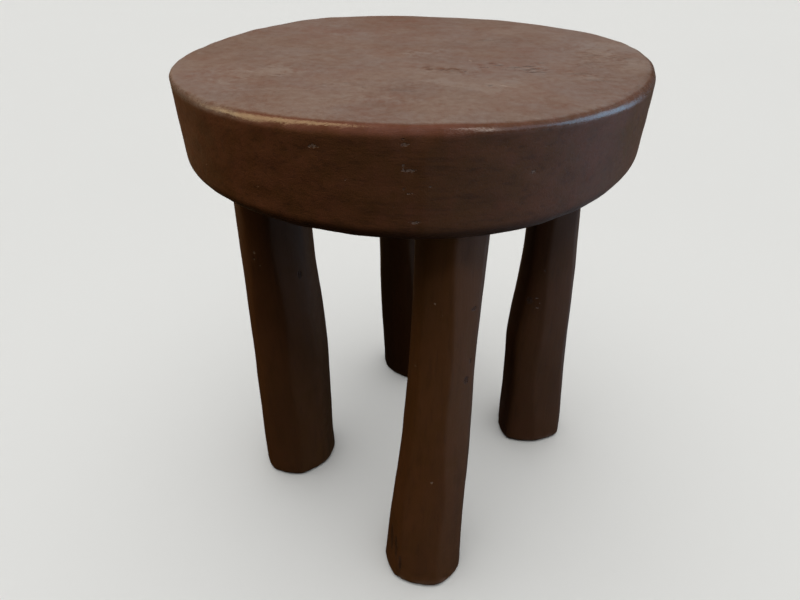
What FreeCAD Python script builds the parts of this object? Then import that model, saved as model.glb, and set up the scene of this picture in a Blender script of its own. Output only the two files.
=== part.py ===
import FreeCAD, Part
import os
import Sketcher

# A low round stool: a thick seat on four hewn legs. Each leg ends in a round tenon that stands in a
# blind socket of the seat. A wedge in the tenon's kerf meets the socket's end and spreads the tenon,
# so the leg can't pull out. Millimetres. The origin is on the floor under the seat's centre, +Z is
# up and the front leg is towards -Y.

SIZES = {
    # Seat
    "seat_height": 393,
    "seat_radius": 165,
    "seat_thickness": 68.5,
    # The side draws in by this much from the rim to the underside
    "seat_draw": 1.5,
    "rim_round": 5,
    # The lower edge's rounding: how far it runs in under the seat and how far up the side
    "under_reach": 25,
    "under_rise": 15,
    # Wood left between a socket's end and the seat's top
    "seat_web": 27.5,
    # Tenons, sockets and wedges
    "tenon_radius": 16.5,
    "tenon_spread": 1.3,
    "tenon_fit": 0.15,
    "socket_end_gap": 1,
    "kerf_root_width": 1.6,
    "wedge_root_gap": 2,
    "cut_overrun": 2,
    # Legs: the inset is from the seat's edge to the tenon's axis, the foot's offset is from under that
    # axis to the foot's centre, and the shoulder is the leg's width round the tenon.
    "foot_chamfer": 2.5,
    "front_angle": 280,
    "front_inset": 42.6,
    "front_foot_offset_x": -15.6,
    "front_foot_offset_y": -14.7,
    "front_shoulder": 6.5,
    "front_foot_radius": 32.6,
    "left_angle": 192,
    "left_inset": 51.5,
    "left_foot_offset_x": -7.5,
    "left_foot_offset_y": 15.3,
    "left_shoulder": 12.5,
    "left_foot_radius": 36,
    "right_angle": 9.1,
    "right_inset": 42.5,
    "right_foot_offset_x": 9,
    "right_foot_offset_y": 9.5,
    "right_shoulder": 6,
    "right_foot_radius": 32.7,
    "back_angle": 94.8,
    "back_inset": 45.6,
    "back_foot_offset_x": 10,
    "back_foot_offset_y": 11,
    "back_shoulder": 7,
    "back_foot_radius": 32,
}

# The seat's outline: one pole every 22.5 degrees from +X, as shares of the seat's radius.
OUTLINE_SHARES = (
    1.05, 1.065, 1.015, 0.995, 1.03, 1.05, 1.015, 0.995,
    1.03, 1.05, 1.03, 1.015, 1.035, 1.03, 1.00, 1.005,
)

# The angles, in degrees, at which the seat's rounded edges have a section.
UNDER_ANGLES = (0, 30, 60, 90)
RIM_ANGLES = (90, 60, 30, 0)

# The sections between those edges, as shares of the side's straight height.
SIDE_SHARES = (0.33, 0.67)

# A leg's sections, as shares of its height from the foot to the shoulder.
STATION_SHARES = (0, 0.185, 0.4, 0.617, 0.81, 1)

# At each section, how far the leg's radius has grown from the shoulder's to the foot's.
GROWTH_SHARES = {
    "front": (1, 0.73, 0.38, 0.03, -0.08, 0),
    "left": (1, 0.89, 0.73, 0.43, 0.11, 0),
    "right": (1, 0.83, 0.65, 0.25, 0.03, 0),
    "back": (1, 0.80, 0.55, 0.25, 0.03, 0),
}

# At each section, the leg's bend along X off its straight line, as shares of the foot's radius.
BEND_SHARES = {
    "front": (0, 0, 0.05, 0.034, 0.03, 0),
    "left": (0, 0.01, 0.053, 0.036, 0, 0),
    "right": (0, -0.03, -0.06, 0, 0, 0),
    "back": (0, 0.02, 0.04, 0.03, 0.01, 0),
}

# The foot's hewn outline: one pole every 45 degrees from +X, as shares of the foot's radius.
FACET_SHARES = {
    "front": (1.11, 1.12, 1.08, 1.12, 1.13, 1.07, 1.11, 1.19),
    "left": (1.09, 1.10, 1.06, 1.10, 1.07, 1.20, 1.13, 1.12),
    "right": (1.10, 1.15, 1.08, 1.15, 1.10, 1.40, 1.04, 1.30),
    "back": (1.12, 1.14, 1.08, 1.16, 1.05, 0.92, 1.13, 1.14),
}

# The pole share that makes an even outline, and how much of the foot's unevenness the shoulder keeps.
EVEN_POLE_SHARE = 1.108
SHOULDER_FACET_SHARE = 0.35

# The kerf's depth as a share of the tenon's length, and the wedge's breadth of the tenon's diameter.
KERF_DEPTH_SHARE = 0.75
WEDGE_BREADTH_SHARE = 0.8

# Lengths that follow from the sheet's cells
SHOULDER_HEIGHT = "(sizes.seat_height - sizes.seat_thickness)"
TENON_LENGTH = "(sizes.seat_thickness - sizes.seat_web - sizes.socket_end_gap)"
SOCKET_DEPTH = "(sizes.seat_thickness - sizes.seat_web)"
KERF_DEPTH = "(%s * %g)" % (TENON_LENGTH, KERF_DEPTH_SHARE)
KERF_ROOT = "(%s - %s)" % (TENON_LENGTH, KERF_DEPTH)


def tenon_place(leg):
    """Where a leg's tenon axis meets the seat's underside, as three expressions."""
    reach = "(sizes.seat_radius - sizes.%s_inset)" % leg
    angle = "sizes.%s_angle" % leg
    return reach + " * cos(%s)" % angle, reach + " * sin(%s)" % angle, SHOULDER_HEIGHT


def new_body(name, place):
    """A body at a place given by three expressions."""
    body = doc.addObject("PartDesign::Body", name)
    body.Label = name
    for axis, expression in zip("xyz", place):
        body.setExpression("Placement.Base." + axis, expression)
    return body


def new_sketch(body, name, role, offset=("0", "0", "0")):
    """A sketch on one of the body's own origin planes, set off by three expressions."""
    sketch = body.newObject("Sketcher::SketchObject", name)
    plane = next(feature for feature in body.Origin.OriginFeatures if feature.Role == role)
    sketch.AttachmentSupport = [(plane, "")]
    sketch.MapMode = "FlatFace"
    for axis, expression in zip("xyz", offset):
        sketch.setExpression("AttachmentOffset.Base." + axis, expression)
    return sketch


def bind(sketch, constraint, expression):
    """Add a constraint whose value is an expression."""
    number = sketch.addConstraint(constraint)
    sketch.setExpression("Constraints[%d]" % number, expression)


def spline_section(body, name, offset, radius, shares):
    """A closed cubic outline with evenly spaced poles at shares of a radius."""
    sketch = new_sketch(body, name, "XY_Plane", offset)
    turn = 360 / len(shares)
    poles = []
    for number, share in enumerate(shares):
        pole = FreeCAD.Vector(share, 0, 0)
        poles.append(FreeCAD.Rotation(FreeCAD.Vector(0, 0, 1), turn * number).multVec(pole))
    curve = Part.BSplineCurve()
    curve.buildFromPoles(poles, True, 3)
    sketch.exposeInternalGeometry(sketch.addGeometry(curve, False))
    handles = [n for n, shape in enumerate(sketch.Geometry) if isinstance(shape, Part.Circle)]
    for number, (handle, share) in enumerate(zip(handles, shares)):
        reach = "%s * %g" % (radius, share)
        angle = turn * number
        across = Sketcher.Constraint("DistanceX", -1, 1, handle, 3, poles[number].x)
        along = Sketcher.Constraint("DistanceY", -1, 1, handle, 3, poles[number].y)
        bind(sketch, across, "%s * cos(%g deg)" % (reach, angle))
        bind(sketch, along, "%s * sin(%g deg)" % (reach, angle))
    return sketch


def circle_section(body, name, offset, radius):
    """A circle about the sketch's origin."""
    sketch = new_sketch(body, name, "XY_Plane", offset)
    circle = Part.Circle(FreeCAD.Vector(), FreeCAD.Vector(0, 0, 1), 1)
    edge = sketch.addGeometry(circle, False)
    sketch.addConstraint(Sketcher.Constraint("Coincident", edge, 3, -1, 1))
    bind(sketch, Sketcher.Constraint("Radius", edge, 1), radius)
    return sketch


def oval_section(body, name, offset, long_radius, short_radius):
    """An ellipse about the sketch's origin, long along X."""
    sketch = new_sketch(body, name, "XY_Plane", offset)
    start = sheet.get("tenon_radius")
    oval = Part.Ellipse(FreeCAD.Vector(2 * start, 0, 0), FreeCAD.Vector(0, start, 0), FreeCAD.Vector())
    edge = sketch.addGeometry(oval, False)
    sketch.exposeInternalGeometry(edge)
    long_axis = edge + 1
    short_axis = edge + 2
    sketch.addConstraint(Sketcher.Constraint("Coincident", edge, 3, -1, 1))
    sketch.addConstraint(Sketcher.Constraint("Horizontal", long_axis))
    long_length = Sketcher.Constraint("Distance", long_axis, 2 * oval.MajorRadius)
    short_length = Sketcher.Constraint("Distance", short_axis, 2 * oval.MinorRadius)
    bind(sketch, long_length, "2 * " + long_radius)
    bind(sketch, short_length, "2 * " + short_radius)
    return sketch


def taper_sketch(body, name, low, low_width, high, high_width):
    """A tapered outline on the XZ plane, even about the Z axis: two heights and their widths."""
    sketch = new_sketch(body, name, "XZ_Plane")
    corners = ((-1, 0), (1, 0), (2, 1), (-2, 1))
    for start, end in zip(corners, corners[1:] + corners[:1]):
        line = Part.LineSegment(FreeCAD.Vector(*start), FreeCAD.Vector(*end))
        sketch.addGeometry(line, False)
    places = (
        ("-" + low_width, low),
        (low_width, low),
        (high_width, high),
        ("-" + high_width, high),
    )
    for edge, (across, up) in enumerate(places):
        sketch.addConstraint(Sketcher.Constraint("Coincident", edge, 1, (edge - 1) % 4, 2))
        bind(sketch, Sketcher.Constraint("DistanceX", -1, 1, edge, 1, corners[edge][0]), across + " / 2")
        bind(sketch, Sketcher.Constraint("DistanceY", -1, 1, edge, 1, corners[edge][1]), up)
    return sketch


def new_loft(body, kind, name, sections, ruled):
    """An additive or subtractive loft through a list of sections."""
    loft = body.newObject("PartDesign::" + kind, name)
    loft.Profile = sections[0]
    loft.Sections = sections[1:]
    loft.Ruled = ruled
    for section in sections:
        section.Visibility = False
    return loft


def kerf_width(height):
    """The kerf's width at a height over the shoulder: its root's, opened by the spread of both halves."""
    return "(sizes.kerf_root_width + 2 * sizes.tenon_spread * (%s - %s) / %s)" % (
        height, KERF_ROOT, KERF_DEPTH)


def seat_profile():
    """The seat's half section from the underside to the top: pairs of an inset from its radius and a
    height, as expressions. Both edges are quarter ovals, with the side's slight taper between them."""
    profile = []
    for angle in UNDER_ANGLES:
        profile.append((
            "sizes.seat_draw + sizes.under_reach * (1 - sin(%g deg))" % angle,
            "sizes.under_rise * (1 - cos(%g deg))" % angle,
        ))
    for share in SIDE_SHARES:
        profile.append((
            "sizes.seat_draw * %g" % (1 - share),
            "sizes.under_rise * %g + (sizes.seat_thickness - sizes.rim_round) * %g" % (1 - share, share),
        ))
    for angle in RIM_ANGLES:
        profile.append((
            "sizes.rim_round * (1 - sin(%g deg))" % angle,
            "sizes.seat_thickness - sizes.rim_round * (1 - cos(%g deg))" % angle,
        ))
    return profile


def make_seat():
    """The seat: a round block lofted up its profile, with a socket for each leg."""
    body = new_body("seat", ("0", "0", SHOULDER_HEIGHT))
    sections = []
    for number, (inset, height) in enumerate(seat_profile()):
        radius = "(sizes.seat_radius - (%s))" % inset
        name = "seat_section_%d" % number
        sections.append(spline_section(body, name, ("0", "0", height), radius, OUTLINE_SHARES))
    new_loft(body, "AdditiveLoft", "block", sections, False)
    for leg in LEG_NAMES:
        cut_socket(body, leg)
    return body


def cut_socket(body, leg):
    """A blind socket, wider at its end along X by as much as the wedge spreads the tenon."""
    across, along, _ = tenon_place(leg)
    mouth = circle_section(
        body, leg + "_mouth", (across, along, "0"), "(sizes.tenon_radius + sizes.tenon_fit)")
    spread = "sizes.tenon_spread * %s / %s" % (SOCKET_DEPTH, TENON_LENGTH)
    end = oval_section(
        body, leg + "_end", (across, along, SOCKET_DEPTH),
        "(sizes.tenon_radius + sizes.tenon_fit + %s)" % spread,
        "(sizes.tenon_radius + sizes.tenon_fit)")
    doc.recompute()
    before = body.Shape.Volume
    new_loft(body, "SubtractiveLoft", leg + "_socket", [mouth, end], True)
    doc.recompute()
    if not body.Shape.Volume < before:
        raise ValueError(leg + " socket cuts nothing")


def make_leg(leg):
    """A hewn leg: its sections follow a crooked line, grow towards the foot and lose their corners
    towards the shoulder. The foot is cut flat, with its edge taken off."""
    body = new_body(leg + "_leg", tenon_place(leg))
    top_radius = "(sizes.tenon_radius + sizes.%s_shoulder)" % leg
    foot_radius = "sizes.%s_foot_radius" % leg
    pole_length = "(%s - sizes.foot_chamfer)" % SHOULDER_HEIGHT
    stations = []
    for number, height in enumerate(STATION_SHARES):
        growth = GROWTH_SHARES[leg][number]
        drop = 1 - height
        offset = (
            "sizes.%s_foot_offset_x * %g + %s * %g" % (leg, drop, foot_radius, BEND_SHARES[leg][number]),
            "sizes.%s_foot_offset_y * %g" % (leg, drop),
            "-%s * %g" % (pole_length, drop),
        )
        radius = "(%s * %g + %s * %g)" % (top_radius, 1 - growth, foot_radius, growth)
        keep = 1 - height * (1 - SHOULDER_FACET_SHARE)
        shares = [EVEN_POLE_SHARE + (share - EVEN_POLE_SHARE) * keep for share in FACET_SHARES[leg]]
        stations.append(spline_section(body, "%s_station_%d" % (leg, number), offset, radius, shares))
    new_loft(body, "AdditiveLoft", leg + "_pole", stations, False)
    foot_place = ("sizes.%s_foot_offset_x" % leg, "sizes.%s_foot_offset_y" % leg, "-" + SHOULDER_HEIGHT)
    sole_radius = "(%s - sizes.foot_chamfer)" % foot_radius
    sole = spline_section(body, leg + "_sole", foot_place, sole_radius, FACET_SHARES[leg])
    new_loft(body, "AdditiveLoft", leg + "_foot_edge", [sole, stations[0]], True)
    root = circle_section(body, leg + "_tenon_root", ("0", "0", "0"), "sizes.tenon_radius")
    end = oval_section(
        body, leg + "_tenon_end", ("0", "0", TENON_LENGTH),
        "(sizes.tenon_radius + sizes.tenon_spread)", "sizes.tenon_radius")
    new_loft(body, "AdditiveLoft", leg + "_tenon", [root, end], True)
    doc.recompute()
    cut_kerf(body, leg)
    return body


def cut_kerf(body, leg):
    """The kerf down the tenon's middle, across X, opened by the wedge."""
    before = body.Shape.Volume
    past = "(%s + sizes.cut_overrun)" % TENON_LENGTH
    outline = taper_sketch(
        body, leg + "_kerf_outline", KERF_ROOT, "sizes.kerf_root_width", past, kerf_width(past))
    kerf = body.newObject("PartDesign::Pocket", leg + "_kerf")
    kerf.Profile = outline
    kerf.Midplane = True
    kerf.setExpression("Length", "2 * (sizes.tenon_radius + sizes.cut_overrun)")
    outline.Visibility = False
    doc.recompute()
    if not body.Shape.Volume < before:
        raise ValueError(leg + " kerf cuts nothing")


def make_wedge(leg):
    """A wedge that fills the kerf's taper from just over its root to the socket's end."""
    body = new_body(leg + "_wedge", tenon_place(leg))
    low = "(%s + sizes.wedge_root_gap)" % KERF_ROOT
    outline = taper_sketch(
        body, leg + "_wedge_outline", low, kerf_width(low), SOCKET_DEPTH, kerf_width(SOCKET_DEPTH))
    pad = body.newObject("PartDesign::Pad", leg + "_wedge_pad")
    pad.Profile = outline
    pad.Midplane = True
    pad.setExpression("Length", "2 * sizes.tenon_radius * %g" % WEDGE_BREADTH_SHARE)
    outline.Visibility = False
    return body


def check_part(body):
    """Stop if a sub-part isn't one sound solid."""
    if body.Shape.isNull() or not body.Shape.isValid() or len(body.Shape.Solids) != 1:
        raise ValueError(body.Label + " isn't one valid solid")


LEG_NAMES = ("front", "left", "right", "back")

doc = FreeCAD.newDocument("stool")
sheet = doc.addObject("Spreadsheet::Sheet", "sizes")
for row, (alias, value) in enumerate(SIZES.items(), start=1):
    sheet.set("A%d" % row, alias)
    sheet.set("B%d" % row, str(value))
    sheet.setAlias("B%d" % row, alias)
doc.recompute()

parts = [make_seat()]
for leg_name in LEG_NAMES:
    parts.append(make_leg(leg_name))
for leg_name in LEG_NAMES:
    parts.append(make_wedge(leg_name))
doc.recompute()

for item in doc.Objects:
    if "Invalid" in item.State or "Error" in item.State:
        raise ValueError(item.Label + " failed")
for part in parts:
    check_part(part)

os.makedirs("parts", exist_ok=True)
for part in parts:
    part.Shape.exportStep("parts/%s.step" % part.Label)
    box = part.Shape.BoundBox
    print("%-12s %9.0f mm3  x %7.2f %7.2f  y %7.2f %7.2f  z %7.2f %7.2f" % (
        part.Label, part.Shape.Volume, box.XMin, box.XMax, box.YMin, box.YMax, box.ZMin, box.ZMax))
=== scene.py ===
"""The looks of a low round stool: a carved seat on four hewn legs, held by wedges.

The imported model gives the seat's width, thickness and height, and each tenon's place and size. The
tables are in millimetres and degrees where their names or comments don't say otherwise.
"""

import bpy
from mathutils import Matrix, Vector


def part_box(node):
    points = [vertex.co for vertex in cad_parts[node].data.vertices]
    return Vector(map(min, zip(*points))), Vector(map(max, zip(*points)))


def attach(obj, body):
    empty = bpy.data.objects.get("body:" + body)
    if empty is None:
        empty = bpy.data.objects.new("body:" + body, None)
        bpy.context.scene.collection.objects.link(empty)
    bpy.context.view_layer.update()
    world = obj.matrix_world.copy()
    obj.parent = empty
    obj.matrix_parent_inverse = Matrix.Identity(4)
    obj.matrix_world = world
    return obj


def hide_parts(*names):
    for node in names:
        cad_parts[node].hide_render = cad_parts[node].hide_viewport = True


bl_info = {
    "name": "Carved round stool",
    "version": (1, 0, 0),
    "blender": (4, 5, 0),
    "location": "3D View > Sidebar > Stool",
    "description": "Carves the seat, hews the legs and stains the wood of a low round stool",
    "category": "Add Mesh",
}

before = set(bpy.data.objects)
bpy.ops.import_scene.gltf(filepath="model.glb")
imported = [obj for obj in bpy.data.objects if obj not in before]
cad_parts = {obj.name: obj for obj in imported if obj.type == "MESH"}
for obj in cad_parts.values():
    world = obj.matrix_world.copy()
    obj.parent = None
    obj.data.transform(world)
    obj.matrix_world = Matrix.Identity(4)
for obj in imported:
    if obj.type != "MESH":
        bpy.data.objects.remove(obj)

import math

import bpy
import numpy as np
from bpy.props import FloatProperty, FloatVectorProperty, PointerProperty
from mathutils import Euler, Matrix, Vector

MM = 0.001
BODY = "root"
LEG_NAMES = ("front", "left", "right", "back")
SEAT_LOW, SEAT_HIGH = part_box("seat")

# Seat
# The outline has one pole every 22.5 degrees from +X, as shares of the seat's radius.
OUTLINE_SHARES = (
    1.04, 1.06, 1.02, 1.0, 1.02, 1.05, 1.02, 1.0,
    1.05, 1.04, 1.02, 1.02, 1.03, 1.03, 1.0, 1.0,
)
# How far the rim lies above or below the flat of the top at the same angles
RIM_LIFTS = (-0.5, 0, 0, 0, 1, 2, 3.5, 2, 0.5, 0.5, 0, 2, 3, 1, -1.5, -3)
# How much rounder or crisper than usual the rim is at the same angles
RIM_SOFTNESS_SHARES = (0, 0.1, 0, 0, 0, 0, 0.1, 0, -0.6, -0.4, 0.1, 0.4, 0.4, -0.5, 0.5, 0.1)
# Depths below the top, as shares of the rim's rounding, where each zone begins and is full
UPPER_SHARES = (1.2, 0)
TOP_SHARES = (0.14, 0.02)
RIM_SHARES = (1.3, 0.7)
# Along X, where the rim turns rubbed and where that fades, and where the top's dust and painted sheen end
# on the rim and come back
RUBBED_EDGES = ((-120, -80), (0, 70))
RUBBED_FADE_SHARE = 0.8
DUST_AND_SHEEN_EDGES = ((-115, -75), (0, 110))
DUST_AND_SHEEN_BACK_SHARE = 0.6
# Tool marks, as sums of smooth noises: share, seed, wavelength and stretch along each axis
TOP_WAVES = ((0.55, 3, 95, (1, 1, 1)), (0.3, 5, 26, (1.6, 1, 1)))
SIDE_WAVES = ((0.5, 3, 95, (1, 1, 1)), (0.2, 7, 19, (1.7, 1.7, 0.8)))
GOUGE_WAVES = ((1, 11, 24, (1, 2.4, 1)),)
# The levels of noise between which a gouge deepens, and the distances from a tenon over which it starts
GOUGE_LEVELS = (-1.4, 1.6)
GOUGE_CLEARANCES = (14, 34)
# The upright ridge at the front of the side
RIDGE_ANGLE = 270.5
RIDGE_WIDTH = 5
# Dents of the seat: place, reach, depth
SEAT_DENTS = (
    ((1, -166, 391), 5, 0.9),
    ((-10, -166, 390), 4, 0.5),
    ((-56, -155, 381), 3, 0.4),
    ((-107, -126, 388), 6, 0.5),
    ((59, -153, 367), 3, 0.4),
    ((-6, -165, 372), 3.5, 0.4),
    ((-95, 128, 384), 7, 0.6),
    ((110, 118, 372), 6, 0.5),
    ((158, -32, 384), 6, 0.5),
    ((20, 163, 358), 7, 0.5),
    ((-150, 60, 365), 6, 0.5),
    ((38, -20, 394), 3, 0.3),
    ((-30, 60, 394), 12, 0.35),
    ((88, -38, 393), 7, 0.35),
)
# Broad patches on the top: lighter, with more dust and painted sheen, reddish, darker and pored, and dull
# brown. A row is a place and a reach in the plane, and a strength.
PALE_PATCHES = (
    ((31, -82), (42, 13), 1.0),
    ((134, 25), (36, 34), 1.0),
    ((144, -30), (28, 32), 1.0),
    ((104, -60), (36, 18), 0.5),
    ((75, -40), (34, 12), 0.35),
    ((-100, -44), (56, 24), 0.75),
    ((10, 10), (44, 20), 0.5),
    ((-20, -112), (50, 16), 0.4),
    ((-60, 84), (36, 20), 0.3),
    ((-93, -42), (5, 5), 1.0),
    ((-122, -72), (28, 14), 0.6),
)
RED_PATCHES = (
    ((-44, 99), (30, 26), 0.8),
    ((-148, 4), (20, 36), 1.0),
    ((-117, -50), (22, 16), 0.5),
    ((-88, 58), (30, 20), 0.5),
    ((41, 95), (36, 16), 0.5),
    ((-56, -54), (30, 14), 0.35),
    ((50, 34), (40, 16), 0.3),
)
PORED_PATCHES = (
    ((20, -50), (30, 12), 1.0),
    ((66, -40), (34, 12), 0.9),
    ((-14, -88), (26, 14), 0.3),
    ((-45, -78), (30, 10), 0.35),
    ((132, -6), (34, 42), 0.45),
    ((104, -58), (34, 20), 0.4),
    ((60, 50), (50, 20), 0.3),
)
BROWN_STAINS = (
    ((14, -47), (22, 9), 1.0),
    ((28, -53), (12, 5), 0.7),
    ((40, -45), (12, 4), 0.5),
    ((104, -92), (8, 6), 0.5),
    ((-84, 4), (22, 8), 0.3),
    ((-10, 150), (140, 80), 1.0),
    ((70, 62), (60, 34), 0.3),
    ((-55, 30), (46, 26), 0.3),
    ((-30, -64), (20, 7), 0.35),
    ((-10, 110), (150, 50), 0.25),
)
# Pale nicks, and small dark hollows and open cracks: place, reach and strength
SEAT_NICKS = (
    ((-55.9, -155.2, 382.3), (5, 3, 1.6), 1.0),
    ((-9, -164.8, 386.2), (5, 3, 1.5), 1.0),
    ((-6.5, -164.9, 372.6), (6.4, 3, 1.6), 1.0),
    ((-10, -164.9, 375), (1.4, 3, 2.2), 0.7),
    ((-6.8, -164.9, 360), (2.4, 3, 1.8), 0.8),
    ((-11, -164.9, 363), (2.4, 3, 1.0), 0.5),
    ((4, -165, 364), (1.5, 3, 2.4), 0.6),
    ((-3.8, -165, 343.4), (5.4, 3, 1.7), 0.9),
    ((58.6, -154.3, 367.2), (4.4, 3, 1.4), 0.9),
    ((85.1, -141.4, 355.9), (1.8, 3, 2.2), 0.7),
    ((-107.3, -125.3, 386.2), (4, 4, 1.1), 0.5),
    ((-92, -135, 352), (1.8, 3, 2.2), 0.5),
    ((54.7, -155.7, 335.7), (3.4, 4, 1.2), 0.6),
    ((-130, -100, 352), (2.6, 4, 1.2), 0.5),
    ((-40, -160, 366), (2.2, 4, 1.0), 0.4),
    ((112, -121, 371), (2.2, 4, 1.0), 0.4),
    ((-150, 66, 372), (4, 4, 1.4), 0.7),
    ((90, 138, 350), (4, 4, 1.4), 0.7),
    ((-60, 150, 366), (3, 4, 1.2), 0.6),
    ((38.3, -17.7, 393.4), (1.5, 4, 4), 1.5),
)
SEAT_PITS = (
    ((67, -38, 393), (5, 2.2, 6), 0.6),
    ((75, -35, 393), (7, 2, 6), 0.75),
    ((77, -43, 393), (5, 2.2, 6), 0.75),
    ((45, -38.6, 393), (7, 1.8, 6), 0.5),
    ((31, -50, 393), (7, 2, 6), 0.5),
    ((18, -46, 393), (9, 2, 6), 0.5),
    ((43, -84.5, 393), (4, 2.2, 6), 0.55),
    ((58, -45, 393), (7, 1.6, 6), 0.5),
    ((-32.6, -81.7, 393), (6, 1.6, 6), 0.5),
    ((-3.4, -93.9, 393), (6, 1.6, 6), 0.45),
    ((-88, -52, 393), (7, 2, 6), 0.45),
    ((104, -92, 393), (4, 2.6, 6), 0.45),
    ((-10, -164.8, 388.8), (4, 3, 1.6), 0.45),
    ((-6, -164.9, 376), (3, 3, 1.4), 0.45),
    ((-9, -164.9, 362.5), (4, 3, 2), 0.45),
    ((-2, -165, 345.6), (3, 3, 1.4), 0.4),
    ((-15, -164.5, 352), (5, 3, 1.3), 0.4),
    ((-53, -156, 380), (3, 3, 1.2), 0.4),
)
# Where the rubbed rim's colour is left off for a short way, so the darker stain stands as painted shade
# below the dent at the front of the rim
RIM_DENT_SHADE = (((4, -165, 387), (30, 12, 6), 1.0),)
TOP_PATCHES = {
    "pale_share": PALE_PATCHES,
    "red_share": RED_PATCHES,
    "pored_share": PORED_PATCHES,
    "brown_share": BROWN_STAINS,
}
# The noises that make a patch's edge ragged, by seed and wavelength, and how far the first one moves it
RAGGED_WAVES = ((31, 30), (34, 11))
RAGGED_REACH = 5

# Tenons, sockets and wedges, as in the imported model
TENON_SPREAD = 1.3
TENON_FIT = 0.15
KERF_ROOT_WIDTH = 1.6
KERF_DEPTH_SHARE = 0.75
WEDGE_BREADTH_SHARE = 0.8
CUT_OVERRUN = 2

# Legs
# A leg's stations, as shares of its height from the foot to the shoulder
STATION_SHARES = (0, 0.185, 0.4, 0.617, 0.81, 1)
# The pole share that makes an even outline, and how much of the foot's unevenness the shoulder keeps
EVEN_POLE_SHARE = 1.108
SHOULDER_FACET_SHARE = 0.35
# How much of the flatness is left at the foot, and the share of the height over which it comes in full
FOOT_FLATNESS_SHARE = 0.8
FOOT_FLAT_REACH_SHARE = 0.2
# How far the ridges wander, and how many times up the leg
RIDGE_WOBBLE = 3
RIDGE_WAVES = 2.3
# Adze marks and chips, in rows like the seat's, with seeds counted from the leg's own
LEG_SEED = 20
SEEDS_PER_LEG = 5
ADZE_WAVES = ((0.75, 0, 60, (1, 1, 2.2)), (0.35, 1, 15, (1, 1, 2.6)))
CHIP_WAVES = ((1, 2, 11, (1, 1, 1)),)
CHIP_LEVELS = (0.6, 2)
# Where the adze marks and the chips begin, and where the chips end, as heights in shares of the foot's
# rounding, and the distances below the shoulder where the adze marks begin
ADZE_FOOT_SHARES = (0.5, 4)
CHIP_START_SHARES = (0, 0.4)
CHIP_END_SHARES = (1, 4)
ADZE_SHOULDER_EDGES = (1, 7)
# How far above the shoulder the wood turns bare, and how far up the foot is worn
BARE_RISE = 2
WORN_FOOT = 9
# Each leg's foot offset from under its tenon, its width round the tenon and its foot's radius. At each
# station: how far its radius has grown to the foot's, and its bend along X as shares of that radius.
# The foot's outline has a pole every 45 degrees. The ridges between the hewn flats stand at these
# angles at the shoulder and at the foot.
LEGS = {
    "front": {
        "foot_offset": (-15.2, -14.9),
        "shoulder": 7.1,
        "foot_radius": 32.4,
        "growth_shares": (1, 0.68, 0.34, 0.03, -0.06, 0),
        "bend_shares": (0, 0, 0.06, 0.045, 0.045, 0.02),
        "outline_shares": (1.1, 1.12, 1.08, 1.12, 1.11, 1.14, 1.13, 1.15),
        "top_ridges": (20, 64, 108, 150, 188, 226, 270, 320),
        "foot_ridges": (14, 60, 104, 146, 184, 224, 291, 336),
    },
    "left": {
        "foot_offset": (-6.6, 13),
        "shoulder": 11.7,
        "foot_radius": 35.2,
        "growth_shares": (1, 0.89, 0.73, 0.43, 0.11, 0),
        "bend_shares": (0, 0.01, 0.055, 0.045, 0.02, 0.025),
        "outline_shares": (1.06, 1.10, 1.06, 1.10, 1.07, 1.23, 1.15, 1.05),
        "top_ridges": (12, 58, 104, 150, 194, 234, 276, 322),
        "foot_ridges": (6, 52, 98, 142, 186, 228, 280, 326),
    },
    "right": {
        "foot_offset": (9, 9.5),
        "shoulder": 5.4,
        "foot_radius": 32.1,
        "growth_shares": (1, 0.83, 0.65, 0.25, 0.03, 0),
        "bend_shares": (0, -0.03, -0.06, 0, 0, 0),
        "outline_shares": (1.10, 1.15, 1.08, 1.15, 1.10, 1.50, 1.13, 1.25),
        "top_ridges": (8, 54, 100, 146, 186, 222, 258, 308),
        "foot_ridges": (12, 60, 104, 148, 190, 230, 268, 316),
    },
    "back": {
        "foot_offset": (9, 11),
        "shoulder": 8.5,
        "foot_radius": 33,
        "growth_shares": (1, 0.80, 0.55, 0.25, 0.03, 0),
        "bend_shares": (-0.02, -0.04, -0.05, -0.05, -0.05, -0.05),
        "outline_shares": (1.12, 1.14, 1.08, 1.16, 1.05, 0.86, 1.13, 1.14),
        "top_ridges": (15, 60, 105, 150, 196, 240, 286, 330),
        "foot_ridges": (10, 56, 100, 148, 202, 228, 282, 328),
    },
}
# Swellings and dents of the legs: leg, place, reach, height
SWELLINGS = (
    ("front", (40, -118, 176), 13, 0.9),
    ("right", (93, 19, 128), 16, 0.8),
    ("left", (-84, -18, 235), 22, -0.7),
    ("front", (-20, -150, 34), 7, -0.6),
)
# Pale nicks and dark pits of the legs: place, reach and strength
LEG_NICKS = (
    ((-124.7, -48.5, 260), (1.6, 3, 2.2), 1.0),
    ((-125.6, -48.1, 254), (1.4, 3, 1.6), 0.9),
    ((-121.4, -49.6, 248.7), (1.6, 3, 1.2), 0.6),
    ((9.8, -142.4, 275.5), (1.2, 3, 2), 0.9),
    ((12.6, -143.1, 285.6), (1.6, 3, 1.2), 0.5),
    ((22.7, -144.5, 291.6), (1, 3, 3), 0.5),
    ((14.9, -144.8, 267.8), (1, 3, 3), 0.4),
    ((10.5, -156.5, 121), (1.5, 3, 1.5), 1.2),
    ((-1.6, -137.5, 220.7), (2.4, 4, 2.4), 0.5),
    ((112.4, -1.6, 183.5), (3, 3, 1.2), 0.7),
    ((113.5, -2.3, 172.9), (4, 3, 1.2), 0.7),
    ((115.6, -2.4, 178.5), (1, 3, 4), 0.6),
)
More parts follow.
